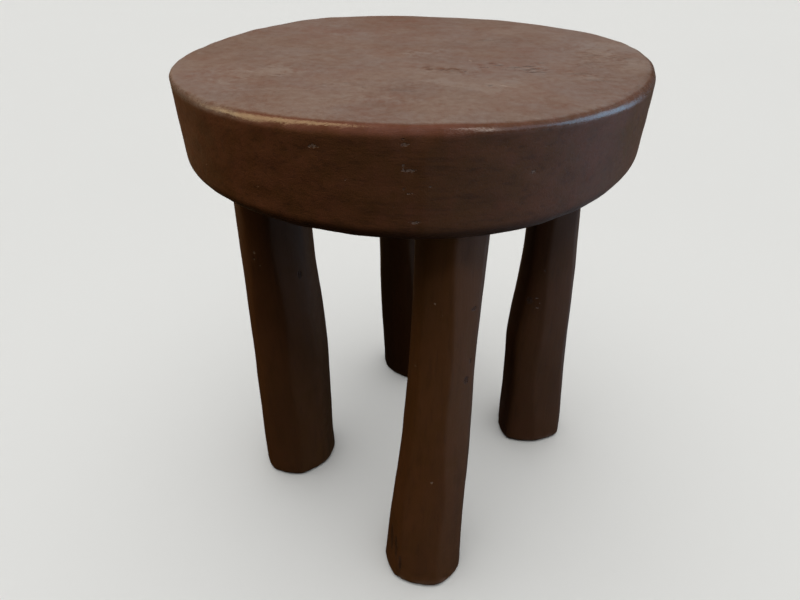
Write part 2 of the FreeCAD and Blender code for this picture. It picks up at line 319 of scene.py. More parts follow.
LEG_PITS = (
    ((-92.3, -42.7, 235.8), (3, 4, 7), 0.9),
    ((-81.2, -22.3, 202.8), (3, 4, 4), 0.6),
    ((34.2, -140.5, 270), (4, 4, 2.4), 1.0),
    ((34.8, -140.4, 227.1), (1.4, 4, 5), 0.7),
    ((32.6, -143.2, 211.6), (3, 4, 6), 0.9),
    ((106.8, 0.5, 180), (7, 5, 8), 0.5),
    ((116, -1.3, 213.1), (2, 4, 5), 0.5),
    ((-21, -146, 41.6), (2.2, 6, 30), 1.4),
    ((-17.6, -153, 34), (1.9, 6, 24), 1.3),
    ((-14.4, -158, 22), (1.7, 6, 16), 1.2),
)


# Shape functions

# The lengths of a noise's waves lie between these shares of the one that is asked for
WAVELENGTH_SHARES = (0.6, 1.7)
# Keeps the normal of a point without area from being divided by zero
TINY = 1e-12


def even_turns(count):
    """Angles evenly round a circle, from +X."""
    return 2 * np.pi * np.arange(count) / count


def closed_spline(shares, turns):
    """Points of a closed cubic outline about the origin, two numbers each.

    The poles lie evenly round a circle, each at its share of the radius. Between poles i and i + 1 a
    point is the sum of poles i - 1 to i + 2, weighted by (1 - f)^3, 3 f^3 - 6 f^2 + 4,
    -3 f^3 + 3 f^2 + 3 f + 1 and f^3, over 6, where f is its way from pole i to pole i + 1.
    """
    shares = np.asarray(shares, float)
    around = even_turns(shares.shape[-1])
    poles = shares[..., None] * np.stack([np.cos(around), np.sin(around)], axis=-1)
    return blend_poles(poles, turns)


def blend_poles(poles, turns):
    """The closed cubic through a ring of poles, next to last axis, at each turn."""
    count = poles.shape[-2]
    place = turns * count / (2 * np.pi)
    first = np.floor(place).astype(int)
    f = (place - first)[:, None]
    weights = (
        (1 - f) ** 3,
        3 * f ** 3 - 6 * f ** 2 + 4,
        -3 * f ** 3 + 3 * f ** 2 + 3 * f + 1,
        f ** 3,
    )
    total = 0
    for step, weight in enumerate(weights, start=-1):
        total = total + weight * poles[..., (first + step) % count, :]
    return total / 6


def round_table(values, turns):
    """A table of values evenly round the object, read smoothly at each turn by the same cubic."""
    return blend_poles(np.asarray(values, float)[:, None], turns)[:, 0]


def smooth_through(stations, values, places):
    """A natural cubic spline: straight at both ends, and with one slope and bend at each station.

    The bends solve h0 b0 + 2 (h0 + h1) b1 + h1 b2 = 6 (slope1 - slope0) at each inner station.
    """
    stations = np.asarray(stations, float)
    values = np.asarray(values, float)
    gap = np.diff(stations)
    slope = np.diff(values) / gap
    inner = np.arange(1, len(values) - 1)
    system = np.eye(len(values))
    system[inner, inner - 1] = gap[:-1]
    system[inner, inner] = 2 * (gap[:-1] + gap[1:])
    system[inner, inner + 1] = gap[1:]
    bend = np.linalg.solve(system, np.concatenate([[0], 6 * np.diff(slope), [0]]))
    cell = np.clip(np.searchsorted(stations, places) - 1, 0, len(gap) - 1)
    b = (places - stations[cell]) / gap[cell]
    a = 1 - b
    curve = (a ** 3 - a) * bend[cell] + (b ** 3 - b) * bend[cell + 1]
    return a * values[cell] + b * values[cell + 1] + curve * gap[cell] ** 2 / 6


def hewn_flats(turns, ridges, sharpness):
    """The radius of a hewn pole at each turn, about 1, for a row of ridge angles at each height.

    Between two ridges on the unit circle lies a flat, square to the middle angle m and at a distance
    d = cos(half the gap). The radius is 1 / (sum of (cos(turn - m) / d)^p)^(1 / p) over the flats that
    face the turn, so the ridges come out softly rounded, and sharper with a higher p.
    """
    gaps = np.diff(ridges, axis=1, append=ridges[:, :1] + 2 * np.pi)
    middles = (ridges + gaps / 2)[:, None, :]
    distances = np.cos(gaps / 2)[:, None, :]
    facing = np.clip(np.cos(turns[None, :, None] - middles) / distances, 0, None)
    radius = (facing ** sharpness).sum(axis=-1) ** (-1 / sharpness)
    return radius / radius.mean(axis=1, keepdims=True)


def plane_waves(points, seed, wavelength, stretch=(1, 1, 1), count=16):
    """Smooth noise of about unit size: a sum of cosines of plane waves, times the root of 2 / count.
    Directions, phases and lengths are random, and each axis is drawn out by its stretch."""
    random = np.random.default_rng(seed)
    directions = random.normal(size=(count, 3))
    directions /= np.linalg.norm(directions, axis=1, keepdims=True)
    numbers = 2 * np.pi / (wavelength * random.uniform(*WAVELENGTH_SHARES, count))
    phases = random.uniform(0, 2 * np.pi, count)
    waves = directions * numbers[:, None] / np.asarray(stretch, float)
    return np.cos(points @ waves.T + phases).sum(axis=-1) * math.sqrt(2 / count)


def ease(value, start, end):
    """0 before start, 1 after end and 3 f^2 - 2 f^3 between them, where f is the way from one to the
    other."""
    f = np.clip((value - start) / (end - start), 0, 1)
    return f * f * (3 - 2 * f)


def outward(rings):
    """Unit normals of a grid of rings: the step around crossed with the step along the rings."""
    along = np.gradient(rings, axis=0)
    around = np.roll(rings, -1, axis=1) - np.roll(rings, 1, axis=1)
    normals = np.cross(around, along)
    return normals / np.maximum(np.linalg.norm(normals, axis=-1, keepdims=True), TINY)


def swell(rings, place, reach, height):
    """Push a grid out by height * exp(-(distance / reach)^2) round a place, all given in millimetres. A
    dent's height is negative."""
    distance = np.linalg.norm(rings - np.array(place) * MM, axis=-1)
    return rings + outward(rings) * (height * MM * np.exp(-(distance / (reach * MM)) ** 2))[..., None]


def oval_rings(axis, x_radii, y_radii, heights, columns):
    """Ovals about an upright axis, one at each height: x = axis + x radius * cos(turn), and y alike with
    the sine."""
    turns = even_turns(columns)
    x = axis[0] + np.outer(x_radii, np.cos(turns))
    y = axis[1] + np.outer(y_radii, np.sin(turns))
    return np.stack([x, y, np.outer(heights, np.ones(columns))], axis=-1)


def tool_marks(points, rows, seed=0):
    """A sum of smooth noises. A row is a share, a seed counted from the given one, a wavelength and a
    stretch along each axis."""
    return sum(
        share * plane_waves(points, seed + step, wavelength * MM, stretch)
        for share, step, wavelength, stretch in rows)


# Mesh helpers

SHARP_ANGLE = 42


def put_in_scene(name, data):
    """A new object for a mesh, a light or a camera."""
    piece = bpy.data.objects.new(name, data)
    bpy.context.scene.collection.objects.link(piece)
    return piece


def ring_piece(name, rings, marks=None):
    """A closed mesh from rings of points, low to high and each anticlockwise seen from above, with a
    point in the middle of the first and the last ring. Marks are named values, one per point."""
    rows, columns, _ = rings.shape
    poles = rings[[0, -1]].mean(axis=1)
    points = np.concatenate([rings.reshape(-1, 3), poles])
    here = np.arange(columns)
    after = (here + 1) % columns
    row = np.arange(rows - 1)[:, None] * columns
    quads = np.stack([row + here, row + after, row + after + columns, row + here + columns], axis=-1)
    last = (rows - 1) * columns
    low_fan = np.stack([np.full(columns, len(points) - 2), after, here], axis=-1)
    high_fan = np.stack([np.full(columns, len(points) - 1), last + here, last + after], axis=-1)
    fans = np.concatenate([low_fan, high_fan])
    corners = np.concatenate([quads.reshape(-1), fans.reshape(-1)])
    quad_count = quads.size // 4
    starts = np.concatenate([4 * np.arange(quad_count), 4 * quad_count + 3 * np.arange(len(fans))])
    mesh = bpy.data.meshes.new(name)
    mesh.vertices.add(len(points))
    mesh.vertices.foreach_set("co", points.astype(np.float32).reshape(-1))
    mesh.loops.add(len(corners))
    mesh.loops.foreach_set("vertex_index", corners.astype(np.int32))
    mesh.polygons.add(len(starts))
    mesh.polygons.foreach_set("loop_start", starts.astype(np.int32))
    mesh.update(calc_edges=True)
    for mark, values in (marks or {}).items():
        values = np.concatenate([values.reshape(-1), values[[0, -1]].mean(axis=1)])
        attribute = mesh.attributes.new(mark, "FLOAT", "POINT")
        attribute.data.foreach_set("value", values.astype(np.float32))
    if mesh.validate():
        raise RuntimeError(name + " isn't a sound mesh")
    return put_in_scene(name, mesh)


def taper_block(name, middle, depth, low, low_width, high, high_width):
    """A block with a trapezoid end: two heights, their widths along X and one depth along Y."""
    across, along = middle
    corners = []
    for height, width in ((low, low_width), (high, high_width)):
        for x, y in ((-1, -1), (1, -1), (1, 1), (-1, 1)):
            corners.append((across + x * width / 2, along + y * depth / 2, height))
    faces = [(3, 2, 1, 0), (4, 5, 6, 7), (0, 1, 5, 4), (1, 2, 6, 5), (2, 3, 7, 6), (3, 0, 4, 7)]
    mesh = bpy.data.meshes.new(name)
    mesh.from_pydata(corners, [], faces)
    return put_in_scene(name, mesh)


def cut(piece, cutter):
    """Cut one closed mesh out of another and delete the cutter."""
    modifier = piece.modifiers.new("cut", "BOOLEAN")
    modifier.operation = "DIFFERENCE"
    modifier.solver = "EXACT"
    modifier.object = cutter
    uncut = piece.data
    count = len(uncut.polygons)
    graph = bpy.context.evaluated_depsgraph_get()
    mesh = bpy.data.meshes.new_from_object(piece.evaluated_get(graph), depsgraph=graph)
    piece.modifiers.clear()
    piece.data = mesh
    mesh.name = piece.name
    bpy.data.meshes.remove(uncut)
    bpy.data.objects.remove(cutter)
    if len(mesh.polygons) == count:
        raise RuntimeError(piece.name + " wasn't cut")


def dress(piece, material, slot, *nodes):
    """Shade a finished piece smoothly with crisp corners, and let it stand for its CAD nodes."""
    piece.data.materials.clear()
    piece.data.materials.append(material)
    piece.data.polygons.foreach_set("use_smooth", np.ones(len(piece.data.polygons), bool))
    piece.data.set_sharp_from_angle(angle=math.radians(SHARP_ANGLE))
    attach(piece, BODY)
    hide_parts(*nodes)


# The seat's surface

SEAT_COLUMNS = 512
UNDER_ROWS = 22
UNDER_EDGE_ROWS = 18
SIDE_ROWS = 38
RIM_ROWS = 14
TOP_ROWS = 84
SOCKET_COLUMNS = 64
INNER_RING_SHARE = 0.02


def seat_rings(sizes):
    """The seat's surface from the middle of its underside, round its side to the middle of its top.

    A row is an inset from the seat's radius and a height. The underside is flat, the lower edge and
    the rim are quarter ovals (inset = reach (1 - sin a), height = rise (1 - cos a)) and the side
    between them draws in a little towards the underside. The rim's lift fades with the cube of the
    share of the radius on the top, and with the height on the side.
    """
    turns = even_turns(SEAT_COLUMNS)
    outline = closed_spline(OUTLINE_SHARES, turns)
    radius = (SEAT_HIGH.y - SEAT_LOW.y) / np.ptp(outline[:, 1])
    thickness = SEAT_HIGH.z - SEAT_LOW.z
    rim = sizes.rim_round * (1 + round_table(RIM_SOFTNESS_SHARES, turns))
    lift = sizes.rim_lift * MM * round_table(RIM_LIFTS, turns)

    under = np.linspace(INNER_RING_SHARE, 1, UNDER_ROWS, endpoint=False)[:, None]
    low = np.linspace(0, np.pi / 2, UNDER_EDGE_ROWS)[:, None]
    side = np.linspace(0, 1, SIDE_ROWS + 1, endpoint=False)[1:, None]
    high = np.linspace(np.pi / 2, 0, RIM_ROWS)[:, None]
    top = np.linspace(1, INNER_RING_SHARE, TOP_ROWS + 1)[1:, None]
    insets = (
        radius - (radius - sizes.draw - sizes.under_reach) * under,
        sizes.draw + sizes.under_reach * (1 - np.sin(low)),
        sizes.draw * (1 - side),
        rim * (1 - np.sin(high)),
        radius - (radius - rim) * top,
    )
    heights = (
        0 * under,
        sizes.under_rise * (1 - np.cos(low)),
        sizes.under_rise * (1 - side) + (thickness - rim) * side,
        thickness - rim * (1 - np.cos(high)),
        thickness + 0 * top,
    )
    around = np.zeros(SEAT_COLUMNS)
    inset = np.concatenate([band + around for band in insets])
    height = np.concatenate([band + around for band in heights])
    share = 1 - inset / radius
    fade = ease(height, 0, thickness) * np.where(height < thickness, 1, share ** 3)
    plan = outline[None] * (share * radius)[..., None]
    return np.concatenate([plan, (SEAT_LOW.z + height + lift * fade)[..., None]], axis=-1), height


def carve_seat(sizes):
    """The seat with its tool marks: shallow waves on the top, ripples along the side, gouged hollows
    on the underside away from the legs, a slight upright ridge at the front, which falls off as
    exp(-angle / width), and dents. With its rings come the shares that its finish reads."""
    rings, height = seat_rings(sizes)
    depth = (SEAT_HIGH.z - SEAT_LOW.z - height) / sizes.rim_round
    upper = ease(depth, *UPPER_SHARES)
    on_top = ease(depth, *TOP_SHARES)
    on_rim = ease(depth, *RIM_SHARES) * (1 - on_top)
    lower = 1 - ease(height, 0, sizes.under_rise)
    middle = 1 - np.maximum(upper, lower)

    push = upper * tool_marks(rings, TOP_WAVES) + middle * tool_marks(rings, SIDE_WAVES)
    push *= sizes.ripple
    clear = np.ones_like(push)
    for leg in LEG_NAMES:
        axis, tenon_radius, _, _ = tenon_frame(leg)
        away = np.linalg.norm(rings[..., :2] - axis, axis=-1) - tenon_radius
        clear *= ease(away / MM, *GOUGE_CLEARANCES)
    push -= sizes.gouge * lower * clear * ease(tool_marks(rings, GOUGE_WAVES), *GOUGE_LEVELS)
    angle = np.degrees(np.arctan2(rings[..., 1], rings[..., 0])) % 360
    push += middle * sizes.ridge * np.exp(-np.abs(angle - RIDGE_ANGLE) / RIDGE_WIDTH)
    rings = rings + outward(rings) * push[..., None]
    for place, reach, dent in SEAT_DENTS:
        rings = swell(rings, place, reach, -dent)

    across = rings[..., 0] / MM
    start, fade = (ease(across, *edges) for edges in RUBBED_EDGES)
    rubbed = start * (1 - RUBBED_FADE_SHARE * fade)
    start, fade = (ease(across, *edges) for edges in DUST_AND_SHEEN_EDGES)
    dust_and_sheen_on_rim = 1 - start + DUST_AND_SHEEN_BACK_SHARE * fade
    marks = {
        # The top, and the rim where the top's dust and painted sheen reach onto it
        "top_share": on_top + on_rim * dust_and_sheen_on_rim,
        "rim_share": on_rim,
        # The rubbed colour is left off at the rim's dent, as painted shade
        "worn_share": on_rim * rubbed * (1 - patch_share(rings, RIM_DENT_SHADE)),
    }
    for name, rows in TOP_PATCHES.items():
        marks[name] = patch_share(rings, rows, RAGGED_REACH) * upper
    marks["nick_share"] = patch_share(rings, SEAT_NICKS)
    marks["pit_share"] = patch_share(rings, SEAT_PITS)
    return rings, marks


def patch_share(points, rows, ragged=0):
    """The strongest of several oval patches at each point. Each falls off to 0 at its edge by the
    distance from its middle in shares of its reach. Noises added to the place make it ragged. The
    first moves it by the ragged reach, and the next by less, as its wavelength is shorter."""
    size = len(rows[0][0])
    places = points[..., :size] / MM
    if ragged:
        for seed, wavelength in RAGGED_WAVES:
            waves = [plane_waves(points, seed + axis, wavelength * MM) for axis in range(size)]
            places = places + ragged * wavelength / RAGGED_WAVES[0][1] * np.stack(waves, axis=-1)
    total = np.zeros(points.shape[:-1])
    for place, reach, strength in rows:
        distance = np.linalg.norm((places - place) / reach, axis=-1)
        total = np.maximum(total, strength * (1 - ease(distance, 0, 1)))
    return total


def socket_cutter(leg):
    """A blind socket's inside: a circle at the mouth, wider along X at its end by the tenon's spread."""
    axis, tenon_radius, low, end = tenon_frame(leg)
    socket_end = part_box(leg + "_wedge")[1].z
    heights = np.array([low - CUT_OVERRUN * MM, low, socket_end])
    spread = TENON_SPREAD * MM * (heights - low) / (end - low)
    fit = np.full(len(heights), tenon_radius + TENON_FIT * MM)
    rings = oval_rings(axis, fit + np.maximum(spread, 0), fit, heights, SOCKET_COLUMNS)
    return ring_piece(leg + "_socket", rings)


# The legs' surfaces

LEG_COLUMNS = 192
SOLE_ROWS = 10
FOOT_EDGE_ROWS = 9
POLE_ROWS = 250
TENON_ROWS = 14
TENON_END_ROWS = 5


def tenon_frame(leg):
    """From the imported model, a tenon's axis, its radius, and the heights of its root and its end."""
    low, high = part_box(leg + "_wedge")
    axis = np.array([(low.x + high.x) / 2, (low.y + high.y) / 2])
    radius = (high.y - low.y) / 2 / WEDGE_BREADTH_SHARE
    return axis, radius, SEAT_LOW.z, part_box(leg + "_leg")[1].z


def leg_rings(leg, sizes):
    """A leg's pole from the middle of its sole up to its shoulder.

    A row is a height and a radius. Its outline is the foot's cubic outline, evened out towards the
    shoulder, times the hewn flats. Its middle runs from the foot to the tenon's axis with the bend
    added, and its radius goes from the shoulder's to the foot's by the growth at that height.
    """
    shape = LEGS[leg]
    axis, tenon_radius, shoulder, _ = tenon_frame(leg)
    turns = even_turns(LEG_COLUMNS)
    top_radius = tenon_radius + shape["shoulder"] * MM
    foot_radius = shape["foot_radius"] * MM
    edge = sizes.foot_round

    quarter = np.linspace(0, np.pi / 2, FOOT_EDGE_ROWS)
    sole = np.linspace(INNER_RING_SHARE, 1, SOLE_ROWS, endpoint=False)
    pole = np.linspace(edge, shoulder, POLE_ROWS + 1)[1:]
    height = np.concatenate([np.zeros(SOLE_ROWS), edge * (1 - np.cos(quarter)), pole])
    inset = np.concatenate([
        foot_radius - (foot_radius - edge) * sole,
        edge * (1 - np.sin(quarter)),
        np.zeros(POLE_ROWS),
    ])
    share = np.clip((height - edge) / (shoulder - edge), 0, 1)
    growth = smooth_through(STATION_SHARES, shape["growth_shares"], share)
    bend = smooth_through(STATION_SHARES, shape["bend_shares"], share) * foot_radius
    radius = top_radius * (1 - growth) + foot_radius * growth - inset
    middle = axis + np.outer(1 - share, shape["foot_offset"]) * MM
    middle[:, 0] += bend

    keep = (1 - share * (1 - SHOULDER_FACET_SHARE))[:, None]
    shares = EVEN_POLE_SHARE + (np.array(shape["outline_shares"]) - EVEN_POLE_SHARE) * keep
    outline = closed_spline(shares, turns)
    count = len(shape["top_ridges"])
    drift = np.random.default_rng(LEG_NAMES.index(leg)).uniform(0, 2 * np.pi, count)
    wobble = RIDGE_WOBBLE * np.sin(2 * np.pi * RIDGE_WAVES * share[:, None] + drift)
    foot_ridges = np.array(shape["foot_ridges"])
    ridges = foot_ridges + (np.array(shape["top_ridges"]) - foot_ridges) * share[:, None] + wobble
    flatness = FOOT_FLATNESS_SHARE + (1 - FOOT_FLATNESS_SHARE) * ease(share, 0, FOOT_FLAT_REACH_SHARE)
    flats = hewn_flats(turns, np.radians(ridges), sizes.crispness)
    flats = 1 + sizes.flatness * flatness[:, None] * (flats - 1)
    plan = middle[:, None] + outline * (flats * radius[:, None])[..., None]
    level = np.outer(height, np.ones(LEG_COLUMNS))[..., None]
    return np.concatenate([plan, level], axis=-1)


def tenon_rings(leg):
    """The tenon above the shoulder: a circle at its root, wider along X at its end by its spread, and
    then its flat end."""
    axis, radius, root, end = tenon_frame(leg)
    rise = np.linspace(0, 1, TENON_ROWS)
    height = np.concatenate([root + (end - root) * rise, np.full(TENON_END_ROWS, end)])
    inward = np.linspace(1, INNER_RING_SHARE, TENON_END_ROWS + 1)[1:]
    shrink = np.concatenate([np.ones(TENON_ROWS), inward])
    spread = TENON_SPREAD * MM * np.concatenate([rise, np.ones(TENON_END_ROWS)])
    return oval_rings(axis, (radius + spread) * shrink, radius * shrink, height, LEG_COLUMNS)


def hew_leg(leg, sizes):
    """The pole with its adze marks, which fade out at the sole and at the shoulder, its chipped foot, its
    swellings and its tenon. With its rings come the shares that its finish reads."""
    rings = leg_rings(leg, sizes)
    rise = rings[..., 2] / sizes.foot_round
    below = (SEAT_LOW.z - rings[..., 2]) / MM
    seed = LEG_SEED + SEEDS_PER_LEG * LEG_NAMES.index(leg)
    adzed = ease(rise, *ADZE_FOOT_SHARES) * ease(below, *ADZE_SHOULDER_EDGES)
    chipped = ease(rise, *CHIP_START_SHARES) * (1 - ease(rise, *CHIP_END_SHARES))
    chips = ease(tool_marks(rings, CHIP_WAVES, seed), *CHIP_LEVELS)
    push = adzed * sizes.adze * tool_marks(rings, ADZE_WAVES, seed) - chipped * sizes.chip * chips
    rings = rings + outward(rings) * push[..., None]
    for owner, *swelling in SWELLINGS:
        if owner == leg:
            rings = swell(rings, *swelling)
    rings = np.concatenate([rings, tenon_rings(leg)])
    marks = {
        "bare_share": ease(rings[..., 2], SEAT_LOW.z, SEAT_LOW.z + BARE_RISE * MM),
        "foot_share": 1 - ease(rings[..., 2], 0, WORN_FOOT * MM),
        "nick_share": patch_share(rings, LEG_NICKS),
        "pit_share": patch_share(rings, LEG_PITS),
    }
    return rings, marks


def kerf_cutter(leg):
    """The kerf's taper down the tenon's middle, from its root to past the tenon's end."""
    axis, radius, root, end = tenon_frame(leg)
    depth = (end - root) * KERF_DEPTH_SHARE
    past = end + CUT_OVERRUN * MM
    opening = 2 * TENON_SPREAD * MM * (past - end + depth) / depth
    breadth = 2 * (radius + CUT_OVERRUN * MM)
    width = KERF_ROOT_WIDTH * MM
    return taper_block(leg + "_kerf", axis, breadth, end - depth, width, past, width + opening)


# Materials

WAX_IOR = 1.5
SCRATCH_ANGLE = 38
MATTE = {"Roughness": 0.9, "Specular IOR Level": 0}
CLOUD_SHADE = 0.985


class Finish:
    """A finish in the making: its node tree, with a short call for each kind of node it needs."""

    def __init__(self, name):
        self.material = bpy.data.materials.new(name)
        self.material.use_nodes = True
        self.tree = self.material.node_tree
        self.shader = self.tree.nodes["Principled BSDF"]
        self.place = self.node("TexCoord").outputs["Object"]

    def node(self, kind, inputs=None, **settings):
        node = self.tree.nodes.new("ShaderNode" + kind)
        for key, value in settings.items():
            setattr(node, key, value)
        for key, value in (inputs or {}).items():
            self.feed(node.inputs[key], value)
        return node

    def feed(self, socket, value):
        if isinstance(value, bpy.types.NodeSocket):
            self.tree.links.new(value, socket)
        else:
            socket.default_value = value

    def chain(self, operation, values):
        """Values joined one after another by a math operation."""
        total = values[0]
        for value in values[1:]:
            total = self.node("Math", {0: total, 1: value}, operation=operation).outputs[0]
        return total

    def add(self, *values):
        return self.chain("ADD", values)

    def times(self, *values):
        return self.chain("MULTIPLY", values)

    def strongest(self, *values):
        return self.chain("MAXIMUM", values)

    def sum_up(self, *products):
        """A sum of products, each given by its factors."""
        return self.add(*[self.times(*factors) for factors in products])

    def noise(self, scale, detail=3, roughness=0.5, warp=0, turn=(0, 0, 0)):
        """A noise at the place. Three scales draw it out along an axis, after a turn."""
        place = self.place
        if isinstance(scale, tuple):
            turned = self.node("Mapping", {"Vector": place, "Rotation": turn}).outputs[0]
            place = self.node("Mapping", {"Vector": turned, "Scale": scale}).outputs[0]
            scale = 1
        inputs = {"Vector": place, "Scale": scale, "Detail": detail, "Roughness": roughness}
        return self.node("TexNoise", {**inputs, "Distortion": warp}).outputs[0]

    def ramp(self, value, start, end, low=0, high=1):
        """A smooth step of a value from one level to another."""
        inputs = {"Value": value, "From Min": start, "From Max": end, "To Min": low, "To Max": high}
        return self.node("MapRange", inputs, interpolation_type="SMOOTHSTEP").outputs[0]

    def mix(self, share, first, second):
        """One colour mixed into another by a share. Either is a socket or three numbers."""
        inputs = {0: share}
        for socket, colour in ((6, first), (7, second)):
            joined = isinstance(colour, bpy.types.NodeSocket)
            inputs[socket] = colour if joined else (*colour, 1)
        return self.node("Mix", inputs, data_type="RGBA", clamp_factor=True).outputs[2]

    def mark(self, name):
        return self.node("Attribute", attribute_name=name).outputs["Fac"]

    def ragged(self, name):
        """A mark on the surface with its edge broken up by a fine noise."""
        noise = self.ramp(self.noise(800, 3, 0.7, 0.5), 0.3, 0.7, 0.2, 1.3)
        return self.ramp(self.times(self.mark(name), noise), 0.15, 0.42)

    def coat(self, inputs, height=None, bump=0.5):
        """The material with the shader's inputs fed, and a height in shares of a bump in millimetres."""
        for key, value in inputs.items():
            self.feed(self.shader.inputs[key], value)
        if height is not None:
            node = self.node("Bump", {"Height": height, "Distance": bump * MM})
            self.feed(self.shader.inputs["Normal"], node.outputs[0])
        return self.material


def stained_wood(finish, colours, shade, reddest, grain_scale, contrast):
    """The stain shared by the seat and the legs: a dark brown that shifts to red in soft clouds, with
    streaks and fine dark lines along the grain. Returns the colour, the streaks, the lines and the
    blots."""
    clouds = finish.noise(14, 3, 0.55)
    blots = finish.noise(90, 5, 0.62)
    streaks = finish.noise(grain_scale, 5, 0.6, 0.4)
    lines = finish.noise(tuple(4.5 * value for value in grain_scale), 3, 0.65)
    redness = finish.ramp(finish.sum_up((clouds, 0.5), (blots, 0.5)), 0.32, 0.72, 0, reddest)
    # The shade factor gives the seat a lit copy of the stain and the legs a shaded copy: painted light
    # and painted shade
    shades = [[shade * value for value in stain] for stain in (colours.stain, colours.red_stain)]
    colour = finish.mix(redness, *shades)
    darkness = finish.times(finish.ramp(streaks, 0.52, 0.3), 0.3, contrast)
    colour = finish.mix(darkness, colour, colours.grain)
    fine = finish.times(finish.ramp(lines, 0.5, 0.3), 0.5, contrast)
    return finish.mix(fine, colour, colours.grain), streaks, lines, blots


def seat_finish(colours):
    """Stained and waxed wood with its grain along X. The top is scuffed, with dust and painted sheen that
    stands in for its grazing reflection, reddish, pale and brown patches, short dark cracks and faint
    scratches. The rim is rubbed to a shine and the side nicked."""
    finish = Finish("seat_wood")
    top = finish.mark("top_share")
    grained = finish.ramp(top, 0, 1, 1, 0.35)
    contrast = finish.times(grained, 0.65)
    colour, streaks, lines, blots = stained_wood(
        finish, colours, colours.seat_painted_light_share, 1, (7, 75, 75), contrast)

    pale, red, pored, brown = map(finish.mark, TOP_PATCHES)
    clouds = finish.noise((13, 9, 13), 6, 0.62, 0.5)
    mottle = finish.noise((240, 200, 240), 4, 0.75)
    hairs = finish.noise((70, 130, 130), 4, 0.65, 0.3)
    grain = finish.add(finish.ramp(mottle, 0.3, 0.7, -0.4, 0.4), finish.ramp(hairs, 0.3, 0.7, -0.1, 0.1))
    flakes = finish.times(pale, finish.add(finish.noise((70, 60, 70), 5, 0.65, 0.8), 0.3))
    flakes = finish.times(finish.ramp(flakes, 0.3, 0.5), top)
    # How much dust and painted sheen covers the top: a lighter, greyer colour that stands in part for the
    # top's grazing reflection
    dust_and_sheen = finish.sum_up(
        [finish.ramp(clouds, 0.32, 0.68, 0.46, 0.76)], (grain, finish.add(pored, pale, 0.6)),
        (pale, 0.2), (flakes, 0.22), (red, -0.14), (brown, -0.4))
    tint = finish.noise((18, 14, 18), 4, 0.6)
    dust_and_sheen_colour = finish.mix(finish.ramp(tint, 0.4, 0.6), colours.dust_and_sheen, colours.warm_dust_and_sheen)
    colour = finish.mix(finish.times(top, dust_and_sheen), colour, dust_and_sheen_colour)
    colour = finish.mix(finish.times(top, red, 0.22), colour, colours.red_stain)
    wear = finish.times(finish.mark("worn_share"), finish.ramp(blots, 0.3, 0.6, 0.4, 0.9))
    colour = finish.mix(wear, colour, colours.worn)

    dashes = finish.noise((150, 600, 600), 2, 0.5)
    pores = finish.times(finish.ramp(dashes, 0.6, 0.7), finish.add(finish.times(pored, 0.9), 0.1))
    cracks = finish.noise((50, 300, 300), 3, 0.6, 0.5)
    cracks = finish.times(finish.ramp(cracks, 0.56, 0.63), pored, top)
    dark = finish.strongest(pores, cracks, finish.ragged("pit_share"))
    colour = finish.mix(finish.times(dark, 0.8), colour, colours.grain)

    scratches = finish.noise((26, 700, 700), 2, 0.5, turn=(0, 0, math.radians(SCRATCH_ANGLE)))
    scratches = finish.times(finish.ramp(scratches, 0.64, 0.74), top, finish.add(pale, 0.15))
    nicks = finish.ragged("nick_share")
    colour = finish.mix(finish.times(scratches, 0.5), colour, colours.scuff)
    colour = finish.mix(finish.times(nicks, 0.3), colour, colours.scuff)

    rough = finish.sum_up(
        [finish.ramp(blots, 0.3, 0.7, 0.36, 0.48)], [finish.ramp(mottle, 0.3, 0.7, -0.05, 0.05)],
        (top, 0.1), (nicks, 0.15), (finish.mark("rim_share"), -0.23))
    height = finish.sum_up(
        (streaks, grained, 0.3), (lines, grained, 0.25), (blots, 0.4), (mottle, 0.2),
        (finish.noise(700, 3, 0.6), 0.09), (dark, -0.6), (nicks, -0.6), (scratches, -0.1))
    return finish.coat({"Base Color": colour, "Roughness": rough, "IOR": WAX_IOR}, height)


def leg_finish(colours):
    """The same stain with its grain along the leg, pits, short cracks at the front foot, pale nicks,
    rubbed feet, and bare wood on the tenon."""
    finish = Finish("leg_wood")
    colour, streaks, lines, blots = stained_wood(
        finish, colours, colours.leg_painted_shade_share, 0.35, (75, 75, 7), 0.5)
    pits = finish.ragged("pit_share")
    nicks = finish.ragged("nick_share")
    dashes = finish.noise((700, 700, 110), 2, 0.5)
    pores = finish.times(finish.ramp(dashes, 0.64, 0.74), finish.add(finish.times(pits, 0.8), 0.05))
    dark = finish.strongest(pores, finish.times(pits, 0.8))
    colour = finish.mix(finish.times(dark, 0.8), colour, colours.grain)
    colour = finish.mix(finish.times(nicks, 0.4), colour, colours.scuff)
    foot = finish.times(finish.mark("foot_share"), finish.ramp(blots, 0.45, 0.7))
    colour = finish.mix(finish.times(foot, 0.25), colour, colours.scuff)
    colour = finish.mix(finish.mark("bare_share"), colour, colours.bare)
    rough = finish.add(finish.ramp(blots, 0.3, 0.7, 0.36, 0.5), finish.times(nicks, 0.15))
    height = finish.sum_up(
        (streaks, 0.2), (lines, 0.2), (blots, 0.3), (finish.noise(700, 3, 0.6), 0.08), (dark, -0.8),
        (nicks, -0.5))
    return finish.coat({"Base Color": colour, "Roughness": rough, "IOR": WAX_IOR}, height)


def wedge_finish(colours):
    """Split, unstained hardwood: long pale and dark fibres along the wedge."""
    finish = Finish("wedge_wood")
    fibres = finish.noise((420, 420, 30), 4, 0.6, 0.3)
    clouds = finish.noise(90, 3, 0.5)
    share = finish.ramp(finish.sum_up((fibres, 0.7), (clouds, 0.3)), 0.35, 0.65)
    colour = finish.mix(share, colours.bare_dark, colours.bare)
    rough = finish.ramp(fibres, 0.3, 0.7, 0.6, 0.78)
    return finish.coat({"Base Color": colour, "Roughness": rough}, fibres, 0.4)


def floor_finish(colours):
    """The pale floor, with a faint cloud in its tone."""
    finish = Finish("pale_floor")
    darker = [CLOUD_SHADE * value for value in colours.floor_colour]
    colour = finish.mix(finish.noise(2, 2), darker, colours.floor_colour)
    return finish.coat({"Base Color": colour, **MATTE})


